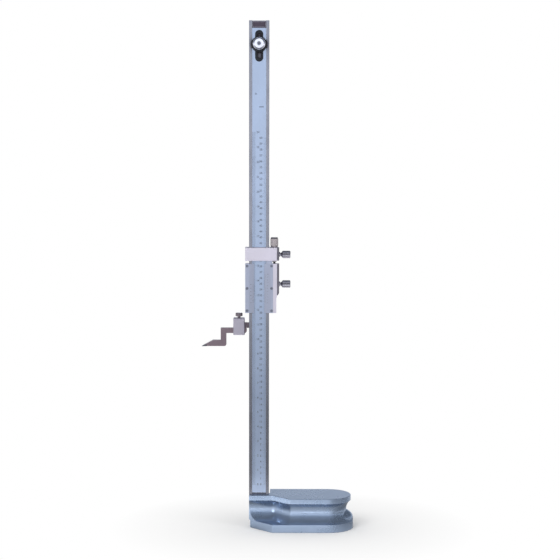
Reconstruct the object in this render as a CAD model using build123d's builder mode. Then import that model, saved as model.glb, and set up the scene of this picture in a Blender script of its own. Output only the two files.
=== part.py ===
from build123d import *
from math import cos, pi, sin
import os

# Vernier height gauge, 0-600 mm, with an adjustable main scale.
# Millimetres. +X runs along the base, +Y to the back, +Z up. The origin is on the column's
# centre line, in the plane that the base stands on.

os.makedirs("parts", exist_ok=True)

# ---- fits -------------------------------------------------------------------------------
RUN = 0.05          # running clearance, each side
SLACK = 0.3         # free clearance between pieces that never touch
SEAT = 0.02         # clearance of a piece that sits still in its pocket or hole

# ---- column and main scale --------------------------------------------------------------
COLUMN_W = 34.5
COLUMN_D = 14.0
COLUMN_L = 817.0
GROOVE_W = 24.0         # mouth of the dovetail groove for the scale
GROOVE_D = 4.0
GROOVE_UNDERCUT = 1.0   # how much wider the groove is at its floor, each side
SCALE_T = 3.2
SCALE_L = 800.0
SCALE_LIFT = 4.2        # scale end above the base at rest
SCALE_FIT = 0.1

# ---- base -------------------------------------------------------------------------------
BASE_H = 58.0
DECK_T = 8.7            # top plate
FOOT_T = 13.6           # bottom flange
DECK_HALF = 40.0
FOOT_LIP = 4.2          # bottom flange stands out this far beyond the top plate
GRIP_DEPTH = 7.8        # finger groove, measured from the edge of the top plate
GRIP_DEEPEST = 32.3     # height of the deepest line of the groove
END_X = 120.0           # centre of the rounded end
NECK_FRONT = 12.5
NECK_END = 24.2         # where the neck starts to flare
FOOT_TIP = 6.0          # half width of the foot at its left end
FOOT_INSET = 2.0        # foot starts this far inside the left end of the deck
NOTCH_GAP = 1.75        # notch for the jaw ends this far beyond the column
TOE_SHIFT = 19.0        # the foot's rounded toe is turned about a centre this far out
TOE_BULGE_IN = 1.7          # the toe's outline steps in by these from the foot's edge, at these heights
TOE_BULGE_Z = 23.5
TOE_SHOULDER_IN = 9.1
TOE_SHOULDER_Z = 30.2
TOE_TOP_IN = 13.0
TOE_TOP_Z = 36.0
RELIEF_D = 2.0
RELIEF_HALF = 24.0
RELIEF_START = 60.0
DECK_EDGE = 0.5
DECK_ROUND = 9.0        # corners where the neck flares out
FOOT_EDGE = 0.8
GRIP_RUNOUT = 12.0      # groove's cutter runs this far past the ends of the base
GRIP_REACH = 8.5        # and stands out this far beyond the top plate

# ---- sliding head -----------------------------------------------------------------------
READING = 316.5         # height of the scriber's measuring face as the gauge stands
HEAD_LEFT = -23.8
HEAD_RIGHT = 30.9
HEAD_BACK = 13.0
SLIDER_L = 84.8
SLIDER_RISE = 59.8      # slider's lower end above the scriber's measuring face
VERNIER_T = 2.8
HEAD_GAP = 5.0          # between slider and fine feed carrier
FINE_TRAVEL = 2.5
CARRIER_L = 23.4
CARRIER_WALL = 4.5      # front wall of the carrier
CARRIER_BACK_T = 3.6
GIB_T = 1.8
GIB_HALF = 5.5
GIB_END = 3.0           # gib ends this far inside its slider or carrier
SIDE_PLATE_T = 3.6
SIDE_PLATE_W = 13.0
SIDE_PLATE_L = 54.4

# ---- jaw, clamp and scriber -------------------------------------------------------------
BAR = 9.0               # square section of jaw and scriber
JAW_RISE = 32.1         # jaw's underside above the scriber's measuring face
JAW_END = -42.0
JAW_GAP = 0.5           # jaw bar behind the column
JAW_PLATE_HALF = 14.0
CLAMP_LEFT = -44.8
CLAMP_W = 19.7
CLAMP_WALL = 4.5
CLAMP_FLOOR = 3.1
CLAMP_ROOF = 8.2
LEG_LEFT = -66.7
LEG_W = 9.7
SCRIBER_TAIL = -21.5
BLADE_T = 10.7          # height of the lower arm
BLADE_TIP = -99.6
BLADE_SLOPE = -80.3     # where the lower arm's top starts to slope
TIP_L = 8.7
TIP_T = 2.6
TIP_PROUD = 0.3

# ---- screws and knobs -------------------------------------------------------------------
SCREW_R = 2.0           # M4 clamp screws and feed screw
FEED_X = 26.2
FEED_Y = -4.5
HEAD_R = 6.4            # knurled heads of the clamp screws
HEAD_L = 14.3
HEAD_CONE = 2.3         # cone between the waist and the knurled head
HEAD_GROOVES = 30
CLAMP_RISE = 49.5       # slider clamp screw above the slider's lower end
CARRIER_SCREW_Y = 2.5
CARRIER_SCREW_DROP = 1.2     # carrier clamp screw below the carrier's middle
NUT_R = 6.7
NUT_L = 17.2
NUT_FOOT = 2.6          # tapered foot of the feed nut, under its knurled band
NUT_CROWN = 2.2         # rounded crown above the band
NUT_GROOVES = 36
HUB_R = 3.2
CLIP_R = 4.0
CLIP_T = 0.6
SMALL_R = 1.25          # M2.5 screws
SMALL_HEAD_R = 2.3
SMALL_HEAD_L = 1.6
SMALL_L = 6.0
CAP_R = 2.5             # M5 column screws
CAP_HEAD_R = 4.25
CAP_HEAD_L = 5.0
CAP_SEAT = 22.0         # counterbore depth in the base
CAP_GRIP = 12.0         # thread length in the column
CAP_X = 8.0
DOWEL_R = 2.0
DOWEL_L = 20.0
DOWEL_X = 13.6
FIX_Y = 1.8             # line of the column's screws and dowels

# ---- zero setting gear ------------------------------------------------------------------
SLOT_W = 14.0
SLOT_L = 53.5
SLOT_DROP = 30.0        # middle of the slot below the scale's top end
ADJUST_RISE = 2.6       # adjuster's axis above the middle of the slot
MODULE = 0.5
TEETH = 14
ADDENDUM = 0.42
DEDENDUM = 0.62
BACKLASH = 0.14
STUD_R = 2.0
WHEEL_R = 13.5
WHEEL_T = 4.4
WHEEL_GROOVES = 56
WASHER_R = 8.0
WASHER_T = 0.6
KNOB_R = 10.7
KNOB_T = 16.0
KNOB_CROWN = 2.4        # bevelled edge of the knob's face
KNOB_GROOVES = 44
KNOB_EYE_R = 3.6
KNOB_EYE_D = 5.0
STUD_SHORT = 5.5        # stud ends this far under the knob's face
PLATE_H = 11.0          # bare label plate at the head of the groove
PLATE_T = 0.6

SLEEVE_R = 2.7          # pinion's sleeve, inside the wheel
RACK_CLEAR = 4.3        # plain side of the rack's opening, from the axis
RACK_END = 11.0         # closed ends of the rack's opening, together
RACK_SUNK = 0.3         # rack's face below the scale's face

# ---- verniers, carrier screws and scriber clamp screw -----------------------------------
VERNIER_RIGHT = 24.1    # right plate nests against the slider's raised rim here
VERNIER_EDGE_T = 0.35
VERNIER_BEVEL_LEFT = -17.0
VERNIER_EDGE_LEFT = -8.4
VERNIER_BEVEL_RIGHT = 20.6
VERNIER_EDGE_RIGHT = 9.0
VERNIER_SCREW_LEFT = -20.6
VERNIER_SCREW_RIGHT = 21.5
VERNIER_PITCH = 38.6
TONGUE_LEFT = 12.4      # guide tongue of the right vernier plate
TONGUE_RIGHT = 22.6
TONGUE_L = 11.0
TONGUE_T = 2.4
CHEEK_STEP = 1.2
SIDE_HOLE_IN = 5.5
BACK_HOLE_RISE = 7.6
BACK_HOLE_X = 21.5
SIDE_HOLE_RISE = 8.0
PLATE_INSET = 0.3
FEED_SEAT = 14.0
FEED_REACH = 36.0
CLAMP_HEAD_R = 6.1
CLAMP_HEAD_L = 6.0
CLAMP_GROOVES = 28
CLAMP_NECK = 2.8
CLIP_GROOVE_R = 2.7

# ---- places worked out from the sizes above ---------------------------------------------
COLUMN_FRONT = -COLUMN_D / 2
COLUMN_BACK = COLUMN_D / 2
COLUMN_SIDE = COLUMN_W / 2
COLUMN_TOP = BASE_H + COLUMN_L
GROOVE_FLOOR = COLUMN_FRONT + GROOVE_D
SCALE_BACK = GROOVE_FLOOR - SCALE_FIT
SCALE_FACE = SCALE_BACK - SCALE_T
SCALE_Z = BASE_H + SCALE_LIFT
SLOT_Z = SCALE_Z + SCALE_L - SLOT_DROP
ADJUST_Z = SLOT_Z + ADJUST_RISE
BASE_LEFT = -COLUMN_SIDE
FOOT_HALF = DECK_HALF + FOOT_LIP
FOOT_LEFT = BASE_LEFT + FOOT_INSET
FLARE_END = NECK_END + DECK_HALF - NECK_FRONT
GRIP_TOP = BASE_H - DECK_T
NOTCH_RIGHT = COLUMN_SIDE + NOTCH_GAP
SLIDER_Z = READING + SLIDER_RISE
SLIDER_TOP = SLIDER_Z + SLIDER_L
CARRIER_Z = SLIDER_TOP + HEAD_GAP
CARRIER_TOP = CARRIER_Z + CARRIER_L
BORE_SIDE = COLUMN_SIDE + RUN
BORE_FRONT = COLUMN_FRONT - RUN
BORE_BACK = COLUMN_BACK + RUN
VERNIER_FACE = BORE_FRONT - VERNIER_T
CARRIER_FACE = BORE_FRONT - CARRIER_WALL
GIB_SEAT = BORE_SIDE + GIB_T + SEAT
SLIDER_SCREW_Z = SLIDER_Z + CLAMP_RISE
CARRIER_MID = CARRIER_Z + CARRIER_L / 2
CARRIER_SCREW_Z = CARRIER_MID - CARRIER_SCREW_DROP
SIDE_FACE = HEAD_RIGHT + SIDE_PLATE_T
JAW_Z = READING + JAW_RISE
JAW_FRONT = COLUMN_BACK + JAW_GAP
JAW_MID = JAW_FRONT + BAR / 2
CLAMP_MID = CLAMP_LEFT + CLAMP_W / 2
CLAMP_Z = JAW_Z - BAR - RUN - CLAMP_FLOOR
CLAMP_TOP = JAW_Z + BAR + RUN + CLAMP_ROOF
PITCH_R = MODULE * TEETH / 2
TOOTH_PITCH = pi * MODULE
PLATE_Z = COLUMN_TOP - 1 - PLATE_H / 2
WHEEL_SEAT = GROOVE_D + SLACK       # distances from the groove's floor, along the stud
KNOB_SEAT = WHEEL_SEAT + WHEEL_T + WASHER_T + 2 * RUN
HUB_END = HEAD_GAP - 1.6            # distances from the slider's top, along the feed screw
NUT_BASE = HEAD_GAP + CARRIER_L + RUN
NUT_TOP = NUT_BASE + NUT_L
SCRIBER_TOP = JAW_Z - RUN
BLADE_Z = READING + TIP_PROUD
TIP_END = BLADE_TIP + TIP_L
TIP_NECK = TIP_END - 4.0


# ---- shared forms -----------------------------------------------------------------------
def save(piece, name):
    """Label a finished piece and write its STEP file."""
    piece.part.label = name
    export_step(piece.part, f"parts/{name}.step")


def side_of(axis_plane):
    """Plane through the axis of a turned piece: local x is the radius, local y runs along."""
    return Plane(axis_plane.origin, x_dir=axis_plane.x_dir, z_dir=-axis_plane.y_dir)


def along(axis_plane):
    """The axis that a turned piece is revolved about."""
    return Axis(axis_plane.origin, axis_plane.z_dir)


def turned(axis_plane, outline, mode=Mode.ADD):
    """Revolve a closed outline of (radius, distance along the axis) points."""
    with BuildSketch(side_of(axis_plane)) as section:
        with BuildLine():
            Polyline(*outline, close=True)
        make_face()
    revolve(section.sketch, axis=along(axis_plane), mode=mode)


def knurled(axis_plane, radius, start, length, grooves, edge):
    """Straight-knurled band: a ring of V grooves between two plain bevelled rims."""
    depth = 0.45 * pi * radius / grooves
    root = radius - depth
    step = pi / grooves
    radii = [radius - depth * (n % 2) for n in range(2 * grooves)]
    points = [(r * cos(n * step), r * sin(n * step)) for n, r in enumerate(radii)]
    with BuildSketch(axis_plane.offset(start + edge)) as rim:
        with BuildLine():
            Polyline(*points, close=True)
        make_face()
    extrude(rim.sketch, amount=length - 2 * edge)
    turned(axis_plane, [(0, start), (root - edge, start), (root, start + edge), (0, start + edge)])
    end = start + length
    turned(axis_plane, [(0, end - edge), (root, end - edge), (root - edge, end), (0, end)])


def thumb_screw(axis_plane, tip, face, radius, head_length):
    """Clamp screw: plain pressing tip, thread, collar, waist and knurled head.

    tip and face are distances along the axis from its origin to the tip and to the collar's
    seat; the head lies beyond the collar.
    """
    collar_r = 0.68 * radius
    collar_t = 1.8
    waist_r = 0.4 * radius
    cone_start = face + collar_t + 1.0
    head_start = cone_start + HEAD_CONE
    knurled(axis_plane, radius, head_start, head_length, HEAD_GROOVES, 0.8)
    turned(
        axis_plane,
        [(0, tip), (SCREW_R - 0.5, tip), (SCREW_R - RUN, tip + 0.6), (SCREW_R - RUN, face),
         (collar_r, face), (collar_r, face + collar_t), (waist_r, face + collar_t + 0.3),
         (waist_r, cone_start), (radius - 1.2, head_start), (0, head_start)],
    )


def disc(plane, radius, amount, mode=Mode.ADD):
    """Round boss or hole: a circle on the plane, carried amount along its normal."""
    with BuildSketch(plane) as outline:
        Circle(radius)
    extrude(outline.sketch, amount=amount, mode=mode)


def drill(places, radius, depth):
    """Blind holes, one at each plane, going in against its normal."""
    for place in places:
        disc(place, radius, -depth, Mode.SUBTRACT)


def small_screws(places):
    """Slotted M2.5 screws, one at each plane, with their heads just under its surface."""
    for place in places:
        head = place.offset(-SEAT)
        disc(head, SMALL_HEAD_R, -SMALL_HEAD_L)
        disc(head.offset(-SMALL_HEAD_L), SMALL_R - SEAT, -SMALL_L)
        with BuildSketch(head) as slot:
            Rectangle(2 * SMALL_HEAD_R, 0.6)
        extrude(slot.sketch, amount=-0.7, mode=Mode.SUBTRACT)


def counterbored(places, total):
    """Holes for the small screws with a flat-bottomed seat for their heads."""
    drill(places, SMALL_R + SEAT, total)
    drill(places, SMALL_HEAD_R + 0.15, SMALL_HEAD_L + 0.1)


def facing_front(x, y, z):
    return Plane((x, y, z), x_dir=(1, 0, 0), z_dir=(0, -1, 0))


def facing_back(x, y, z):
    return Plane((x, y, z), x_dir=(-1, 0, 0), z_dir=(0, 1, 0))


def facing_right(x, y, z):
    return Plane((x, y, z), x_dir=(0, 1, 0), z_dir=(1, 0, 0))


def facing_up(x, y, z):
    return Plane((x, y, z), x_dir=(1, 0, 0), z_dir=(0, 0, 1))


def facing_down(x, y, z):
    return Plane((x, y, z), x_dir=(1, 0, 0), z_dir=(0, 0, -1))


# ---- base -------------------------------------------------------------------------------
def flare(left):
    """Front edge of the top plate, from the rounded end to the neck, with eased corners."""
    return FilletPolyline(
        (END_X, -DECK_HALF), (FLARE_END, -DECK_HALF), (NECK_END, -NECK_FRONT), (left, -NECK_FRONT),
        radius=DECK_ROUND,
    )


def deck_plan():
    """Top plate in plan: slim neck under the column, 45 degree flare, rounded end."""
    with BuildLine() as outline:
        flare(BASE_LEFT)
        Polyline(
            (BASE_LEFT, -NECK_FRONT), (BASE_LEFT, COLUMN_BACK), (NOTCH_RIGHT, COLUMN_BACK),
            (NOTCH_RIGHT, DECK_HALF), (END_X, DECK_HALF),
        )
        ThreePointArc((END_X, DECK_HALF), (END_X + DECK_HALF, 0), (END_X, -DECK_HALF))
    make_face(outline.edges())


def foot_plan(left, mode=Mode.ADD):
    """Bottom flange in plan, drawn out to a blunt point at its left end."""
    tip = FOOT_TIP + left - FOOT_LEFT
    shoulder = left + FOOT_HALF - tip
    with BuildLine() as outline:
        Polyline(
            (END_X, FOOT_HALF), (shoulder, FOOT_HALF), (left, tip),
            (left, -tip), (shoulder, -FOOT_HALF), (END_X, -FOOT_HALF),
        )
        ThreePointArc((END_X, -FOOT_HALF), (END_X + FOOT_HALF, 0), (END_X, FOOT_HALF))
    make_face(outline.edges(), mode=mode)


column_fixings = [(-CAP_X, FIX_Y), (CAP_X, FIX_Y)]
dowel_places = [(-DOWEL_X, FIX_Y), (DOWEL_X, FIX_Y)]

# The finger groove is one concave arc carried round the whole deck edge by a sweep; the toe
# is turned separately, so the groove shallows at the round end.
with BuildPart() as grip_cutter:
    with BuildLine() as grip_path:
        Line((NOTCH_RIGHT - GRIP_RUNOUT, DECK_HALF), (END_X, DECK_HALF))
        ThreePointArc((END_X, DECK_HALF), (END_X + DECK_HALF, 0), (END_X, -DECK_HALF))
        flare(BASE_LEFT - GRIP_RUNOUT)
    with BuildSketch(Plane((NOTCH_RIGHT - GRIP_RUNOUT, DECK_HALF, 0), x_dir=(0, 1, 0), z_dir=(1, 0, 0))):
        with BuildLine():
            ThreePointArc((0, GRIP_TOP), (-GRIP_DEPTH, GRIP_DEEPEST), (FOOT_LIP + SLACK, FOOT_T))
            Polyline((FOOT_LIP + SLACK, FOOT_T), (GRIP_REACH, FOOT_T), (GRIP_REACH, GRIP_TOP),
                     (0, GRIP_TOP))
        make_face()
    sweep(path=grip_path.wire(), transition=Transition.RIGHT)

with BuildPart() as base:
    with BuildSketch(Plane.XY.offset(FOOT_T)):
        deck_plan()
        offset(amount=FOOT_LIP + SLACK, kind=Kind.INTERSECTION)
        foot_plan(BASE_LEFT, Mode.INTERSECT)
    extrude(amount=GRIP_DEEPEST - FOOT_T)
    with BuildSketch(Plane.XY.offset(GRIP_DEEPEST)):
        deck_plan()
    extrude(amount=GRIP_TOP - GRIP_DEEPEST)
    add(grip_cutter.part, mode=Mode.SUBTRACT)
    with BuildSketch(Plane.XY.offset(GRIP_TOP)):
        deck_plan()
    extrude(amount=DECK_T)
    deck_rim = base.edges().group_by(Axis.Z)[-1]
    chamfer([edge for edge in deck_rim if edge.center().Y < COLUMN_BACK or edge.center().X > NOTCH_RIGHT],
            length=DECK_EDGE)
    with BuildSketch():
        foot_plan(FOOT_LEFT)
    extrude(amount=FOOT_T)
    chamfer(base.edges().group_by(Axis.Z)[0], length=FOOT_EDGE)
    toe_x = END_X + TOE_SHIFT
    toe_r = FOOT_HALF - TOE_SHIFT
    with BuildSketch(Plane.XZ):
        with BuildLine():
            Spline((toe_x + toe_r, FOOT_T), (toe_x + toe_r - TOE_BULGE_IN, TOE_BULGE_Z),
                   (toe_x + toe_r - TOE_SHOULDER_IN, TOE_SHOULDER_Z), (toe_x + toe_r - TOE_TOP_IN, TOE_TOP_Z),
                   tangents=((0, 1), (0, 1)))
            Polyline((toe_x + toe_r - TOE_TOP_IN, TOE_TOP_Z), (toe_x, TOE_TOP_Z),
                     (toe_x, FOOT_T), (toe_x + toe_r, FOOT_T))
        make_face()
    revolve(axis=Axis((toe_x, 0, 0), (0, 0, 1)))
    with BuildSketch(Plane.XY.offset(FOOT_T)):
        with Locations(((BASE_LEFT + NOTCH_RIGHT) / 2 - DECK_HALF, COLUMN_BACK + DECK_HALF)):
            Rectangle(NOTCH_RIGHT - BASE_LEFT + 2 * DECK_HALF, 2 * DECK_HALF)
    extrude(amount=BASE_H, mode=Mode.SUBTRACT)
    with BuildSketch():
        with Locations(((RELIEF_START + END_X) / 2, 0)):
            SlotOverall(END_X - RELIEF_START + 2 * RELIEF_HALF, 2 * RELIEF_HALF)
    extrude(amount=RELIEF_D, mode=Mode.SUBTRACT)
    drill([facing_down(x, y, 0) for x, y in column_fixings], CAP_R + 0.25, BASE_H)
    drill([facing_down(x, y, 0) for x, y in column_fixings], CAP_HEAD_R + 0.25, CAP_SEAT)
    drill([facing_up(x, y, BASE_H) for x, y in dowel_places], DOWEL_R + SEAT, DOWEL_L / 2 + SLACK)
save(base, "base")

# ---- column: ground steel bar with a dovetail groove down its front ----------------------
with BuildPart() as column:
    with BuildSketch(Plane.XY.offset(BASE_H)):
        with BuildLine():
            Polyline(
                (-COLUMN_SIDE, COLUMN_FRONT), (-GROOVE_W / 2, COLUMN_FRONT),
                (-GROOVE_W / 2 - GROOVE_UNDERCUT, GROOVE_FLOOR),
                (GROOVE_W / 2 + GROOVE_UNDERCUT, GROOVE_FLOOR),
                (GROOVE_W / 2, COLUMN_FRONT), (COLUMN_SIDE, COLUMN_FRONT),
                (COLUMN_SIDE, COLUMN_BACK), (-COLUMN_SIDE, COLUMN_BACK), close=True,
            )
        make_face()
    extrude(amount=COLUMN_L)
    chamfer(column.edges().filter_by(Axis.Z).filter_by(lambda e: abs(e.center().X) > COLUMN_SIDE - 0.1),
            length=0.5)
    with BuildSketch(Plane.XZ.offset(-GROOVE_FLOOR)):
        with Locations((0, PLATE_Z)):
            Rectangle(GROOVE_W + 2 * SEAT, PLATE_H + 2 * SEAT)
    extrude(amount=-PLATE_T - SEAT, mode=Mode.SUBTRACT)
    drill([facing_down(x, y, BASE_H) for x, y in column_fixings], CAP_R + SEAT, CAP_GRIP + 2)
    drill([facing_down(x, y, BASE_H) for x, y in dowel_places], DOWEL_R + SEAT, DOWEL_L / 2 + SLACK)
    drill([facing_front(0, GROOVE_FLOOR, ADJUST_Z)], STUD_R + SEAT, GROOVE_D + 2)
save(column, "column")

with BuildPart() as column_screws:
    for x, y in column_fixings:
        head = facing_down(x, y, CAP_SEAT)
        disc(head, CAP_HEAD_R, CAP_HEAD_L)
        disc(head, CAP_R, -(BASE_H - CAP_SEAT + CAP_GRIP))
        with BuildSketch(head.offset(CAP_HEAD_L)) as socket:
            RegularPolygon(CAP_R, 6)
        extrude(socket.sketch, amount=-CAP_HEAD_L / 2, mode=Mode.SUBTRACT)
save(column_screws, "column_screws")

with BuildPart() as column_dowels:
    for x, y in dowel_places:
        disc(facing_up(x, y, BASE_H - DOWEL_L / 2), DOWEL_R, DOWEL_L)
    chamfer(column_dowels.edges(), length=0.4)
save(column_dowels, "column_dowels")

# ---- bare label plate let into the groove's floor above the scale ------------------------
with BuildPart() as label_plate:
    with BuildSketch(Plane.XZ.offset(-GROOVE_FLOOR)):
        with Locations((0, PLATE_Z)):
            Rectangle(GROOVE_W, PLATE_H)
    extrude(amount=-PLATE_T)
save(label_plate, "label_plate")

# ---- main scale: steel strip with dovetail edges, slotted at the top for its adjuster -----
with BuildPart() as main_scale:
    back_half = GROOVE_W / 2 + GROOVE_UNDERCUT - SCALE_FIT * 1.25
    taper = GROOVE_UNDERCUT / GROOVE_D
    with BuildSketch(Plane.XY.offset(SCALE_Z)):
        with BuildLine():
            Polyline(
                (-back_half, SCALE_BACK), (back_half, SCALE_BACK),
                (back_half - taper * SCALE_T, SCALE_FACE), (taper * SCALE_T - back_half, SCALE_FACE),
                close=True,
            )
        make_face()
    extrude(amount=SCALE_L)
    with BuildSketch(Plane.XZ.offset(-SCALE_BACK)):
        with Locations((0, SLOT_Z)):
            SlotOverall(SLOT_L, SLOT_W, rotation=90)
    extrude(amount=SCALE_T, mode=Mode.SUBTRACT)
save(main_scale, "main_scale")

# ---- rack: blackened slot liner with fine teeth down its left side ------------------------
rack_tip = PITCH_R - ADDENDUM
rack_root = PITCH_R + DEDENDUM
space_half = (TOOTH_PITCH + BACKLASH) / 4
flank = 0.36
teeth_span = int((SLOT_L - SLOT_W) / 2 / TOOTH_PITCH)
with BuildPart() as scale_rack:
    with BuildSketch(Plane.XZ.offset(-SCALE_BACK)):
        with Locations((0, SLOT_Z)):
            SlotOverall(SLOT_L - 2 * SEAT, SLOT_W - 2 * SEAT, rotation=90)
        with Locations(((RACK_CLEAR - rack_tip) / 2, SLOT_Z)):
            RectangleRounded(rack_tip + RACK_CLEAR, SLOT_L - RACK_END, 2.5, mode=Mode.SUBTRACT)
        for n in range(-teeth_span, teeth_span):
            with Locations((0, ADJUST_Z + n * TOOTH_PITCH)):
                Polygon(
                    (-rack_root, -space_half + flank * DEDENDUM),
                    (-rack_tip + 0.2, -space_half - flank * (ADDENDUM + 0.2)),
                    (-rack_tip + 0.2, space_half + flank * (ADDENDUM + 0.2)),
                    (-rack_root, space_half - flank * DEDENDUM),
                    align=None, mode=Mode.SUBTRACT,
                )
    extrude(amount=SCALE_T - RACK_SUNK)
save(scale_rack, "scale_rack")

# ---- adjuster: pinion on a stud in the column, turned by a knurled wheel ------------------
adjust_axis = facing_front(0, GROOVE_FLOOR, ADJUST_Z)


def pinion_outline():
    """Points round the pinion; one tooth points left, into the rack."""
    outline = []
    half = (TOOTH_PITCH / 2 - BACKLASH / 2) / 2
    for tooth in range(TEETH):
        middle = pi + tooth * 2 * pi / TEETH
        for radius, half_thick in (
            (PITCH_R - DEDENDUM, -half * 1.35), (PITCH_R, -half), (PITCH_R + ADDENDUM, -half * 0.5),
            (PITCH_R + ADDENDUM, half * 0.5), (PITCH_R, half), (PITCH_R - DEDENDUM, half * 1.35),
        ):
            angle = middle + half_thick / radius
            outline.append((radius * cos(angle), radius * sin(angle)))
    return outline


with BuildPart() as adjust_pinion:
    with BuildSketch(adjust_axis.offset(SCALE_FIT + SLACK)):
        with BuildLine():
            Polyline(*pinion_outline(), close=True)
        make_face()
    extrude(amount=SCALE_T - RACK_SUNK - 2 * SLACK)
    disc(adjust_axis.offset(WHEEL_SEAT - 2), SLEEVE_R, WHEEL_T + 2 - SLACK)
    drill([adjust_axis.offset(WHEEL_SEAT + WHEEL_T)], STUD_R + RUN, WHEEL_SEAT + WHEEL_T)
save(adjust_pinion, "adjust_pinion")

with BuildPart() as adjust_wheel:
    knurled(adjust_axis, WHEEL_R, WHEEL_SEAT, WHEEL_T, WHEEL_GROOVES, 0.5)
    drill([adjust_axis.offset(WHEEL_SEAT + WHEEL_T)], SLEEVE_R + SEAT, WHEEL_T)
save(adjust_wheel, "adjust_wheel")

with BuildPart() as lock_washer:
    disc(adjust_axis.offset(WHEEL_SEAT + WHEEL_T + RUN), WASHER_R, WASHER_T)
    drill([adjust_axis.offset(KNOB_SEAT)], STUD_R + RUN, WASHER_T + 2 * RUN)
save(lock_washer, "lock_washer")

with BuildPart() as lock_stud:
    disc(adjust_axis.offset(-GROOVE_D), STUD_R, GROOVE_D + KNOB_SEAT + KNOB_T - STUD_SHORT)
    chamfer(lock_stud.edges(), length=0.4)
save(lock_stud, "lock_stud")

knob_face = KNOB_SEAT + KNOB_T
knob_rim = KNOB_R - 0.5
with BuildPart() as lock_knob:
    knurled(adjust_axis, KNOB_R, KNOB_SEAT, KNOB_T - KNOB_CROWN, KNOB_GROOVES, 0.4)
    turned(adjust_axis, [(0, knob_face - KNOB_CROWN - 1), (knob_rim - 1, knob_face - KNOB_CROWN - 1),
                         (knob_rim, knob_face - KNOB_CROWN), (knob_rim - 0.6, knob_face - 0.9),
                         (knob_rim - KNOB_CROWN, knob_face), (0, knob_face)])
    drill([adjust_axis.offset(knob_face)], STUD_R + RUN, KNOB_T)
    drill([adjust_axis.offset(knob_face)], KNOB_EYE_R, KNOB_EYE_D)
save(lock_knob, "lock_knob")

# ---- slider: channel round the column, with the measuring jaw in one piece with it --------
vernier_holes = [
    facing_front(x, BORE_FRONT, SLIDER_Z + SLIDER_L / 2 + row * VERNIER_PITCH)
    for x in (VERNIER_SCREW_LEFT, VERNIER_SCREW_RIGHT) for row in (-1, 0, 1)
]
side_plate_holes = [
    facing_right(HEAD_RIGHT, 0, SLIDER_TOP - SIDE_HOLE_IN),
    facing_right(HEAD_RIGHT, 0, SLIDER_TOP - SIDE_PLATE_L + 2 * SIDE_HOLE_IN),
]
slider_screw_axis = facing_right(0, 0, SLIDER_SCREW_Z)
feed_axis = facing_up(FEED_X, FEED_Y, SLIDER_TOP)

with BuildPart() as slider_body:
    with BuildSketch(Plane.XY.offset(SLIDER_Z)):
        with BuildLine():
            Polyline(
                (HEAD_LEFT, BORE_FRONT), (-BORE_SIDE, BORE_FRONT), (-BORE_SIDE, BORE_BACK),
                (BORE_SIDE, BORE_BACK), (BORE_SIDE, BORE_FRONT), (VERNIER_RIGHT, BORE_FRONT),
                (VERNIER_RIGHT, VERNIER_FACE), (HEAD_RIGHT, VERNIER_FACE), (HEAD_RIGHT, HEAD_BACK),
                (HEAD_LEFT, HEAD_BACK), close=True,
            )
        make_face()
    extrude(amount=SLIDER_L)
    back_corners = slider_body.edges().filter_by(Axis.Z).group_by(Axis.Y)[-1]
    fillet(back_corners, radius=2.5)
    with BuildSketch(Plane.XZ.offset(-JAW_FRONT)):
        with BuildLine():
            Polyline(
                (-JAW_PLATE_HALF, SLIDER_Z + 4), (-JAW_PLATE_HALF, JAW_Z), (JAW_PLATE_HALF - 8, JAW_Z),
                (JAW_PLATE_HALF, JAW_Z + 8), (JAW_PLATE_HALF, SLIDER_Z + 4), close=True,
            )
        make_face()
    extrude(amount=-(HEAD_BACK - JAW_FRONT))
    with BuildSketch(Plane.XZ.offset(-JAW_FRONT)):
        with Locations((JAW_END, JAW_Z)):
            Rectangle(JAW_PLATE_HALF - 8 - JAW_END, BAR, align=(Align.MIN, Align.MIN))
    extrude(amount=-BAR)
    jaw_top_back = slider_body.edges().filter_by(Axis.X).filter_by(
        lambda e: abs(e.center().Z - JAW_Z - BAR) < 0.01 and abs(e.center().Y - HEAD_BACK) < 0.01)
    fillet(jaw_top_back, radius=2.5)
    chamfer(slider_body.faces().sort_by(Axis.X)[0].edges(), length=0.5)
    with BuildSketch(facing_right(BORE_SIDE, 0, SLIDER_Z + SLIDER_L / 2)):
        Rectangle(2 * (GIB_HALF + SEAT), SLIDER_L - 2 * GIB_END + 2 * SEAT)
    extrude(amount=GIB_T + SEAT, mode=Mode.SUBTRACT)
    with BuildSketch(facing_front(HEAD_RIGHT, VERNIER_FACE, SLIDER_Z)):
        with BuildLine():
            Polyline((0, -1), (0, SLIDER_L - SIDE_PLATE_L - 2), (-CHEEK_STEP, SLIDER_L - SIDE_PLATE_L - 5),
                     (-CHEEK_STEP, -1), close=True)
        make_face()
    extrude(amount=-(HEAD_BACK - VERNIER_FACE), mode=Mode.SUBTRACT)
    drill([slider_screw_axis.offset(HEAD_RIGHT)], SCREW_R + RUN, HEAD_RIGHT - BORE_SIDE)
    drill(vernier_holes, SMALL_R, SMALL_L + 1)
    drill(side_plate_holes, SMALL_R, SMALL_L + 1)
    drill([feed_axis], SCREW_R, FEED_SEAT + SLACK)
save(slider_body, "slider_body")


def gib(bottom, length):
    """Flat bronze strip that takes up the play between head and column."""
    with BuildPart() as strip:
        with BuildSketch(facing_right(BORE_SIDE, 0, bottom + length / 2)):
            Rectangle(2 * GIB_HALF, length - 2 * GIB_END)
        extrude(amount=GIB_T)
    return strip


slider_gib = gib(SLIDER_Z, SLIDER_L)
save(slider_gib, "slider_gib")


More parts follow.
